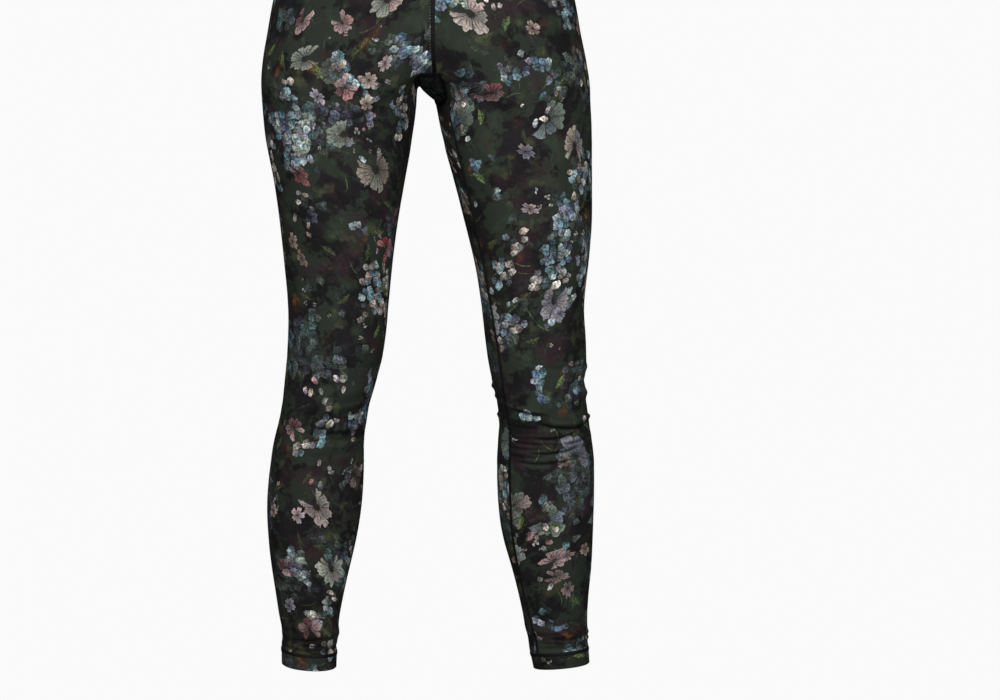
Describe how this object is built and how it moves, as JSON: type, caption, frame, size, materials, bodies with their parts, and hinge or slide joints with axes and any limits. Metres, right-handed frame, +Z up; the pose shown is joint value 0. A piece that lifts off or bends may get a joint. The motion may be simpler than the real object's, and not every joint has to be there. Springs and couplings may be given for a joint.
{
  "type": "base layer leggings",
  "caption": "Worn, hollow stretch leggings with a crotch gusset, a plain elastic waistband and narrow hem bands, printed with small and large flowers on a dark ground.",
  "frame": {"origin": "middle of the waistband, at half its height, where the wearer's waist holds the garment", "axes": "+Z up along the body, +X to the viewer's right (the wearer's left), the front faces -Y"},
  "size_m": [0.3972, 0.2361, 0.937],
  "materials": {
    "printed_cloth": "brushed stretch knit with a flower print on a dark mottled ground",
    "gusset_cloth": "matt stretch knit, almost black, with a faint print",
    "waistband_cloth": "matt elastic knit, almost black",
    "hem_cloth": "brushed stretch knit with the same print",
    "thread": "black sewing thread"
  },
  "bodies": {
    "root": {"waistband": "waistband_cloth", "front_left_hip": "printed_cloth", "front_left_thigh": "printed_cloth", "front_left_calf": "printed_cloth", "front_right_hip": "printed_cloth", "front_right_thigh": "printed_cloth", "front_right_calf": "printed_cloth", "back_left_hip": "printed_cloth", "back_left_thigh": "printed_cloth", "back_left_calf": "printed_cloth", "back_right_hip": "printed_cloth", "back_right_thigh": "printed_cloth", "back_right_calf": "printed_cloth", "gusset": "gusset_cloth", "hem_band_left": "hem_cloth", "hem_band_right": "hem_cloth"}
  },
  "joints": []
}
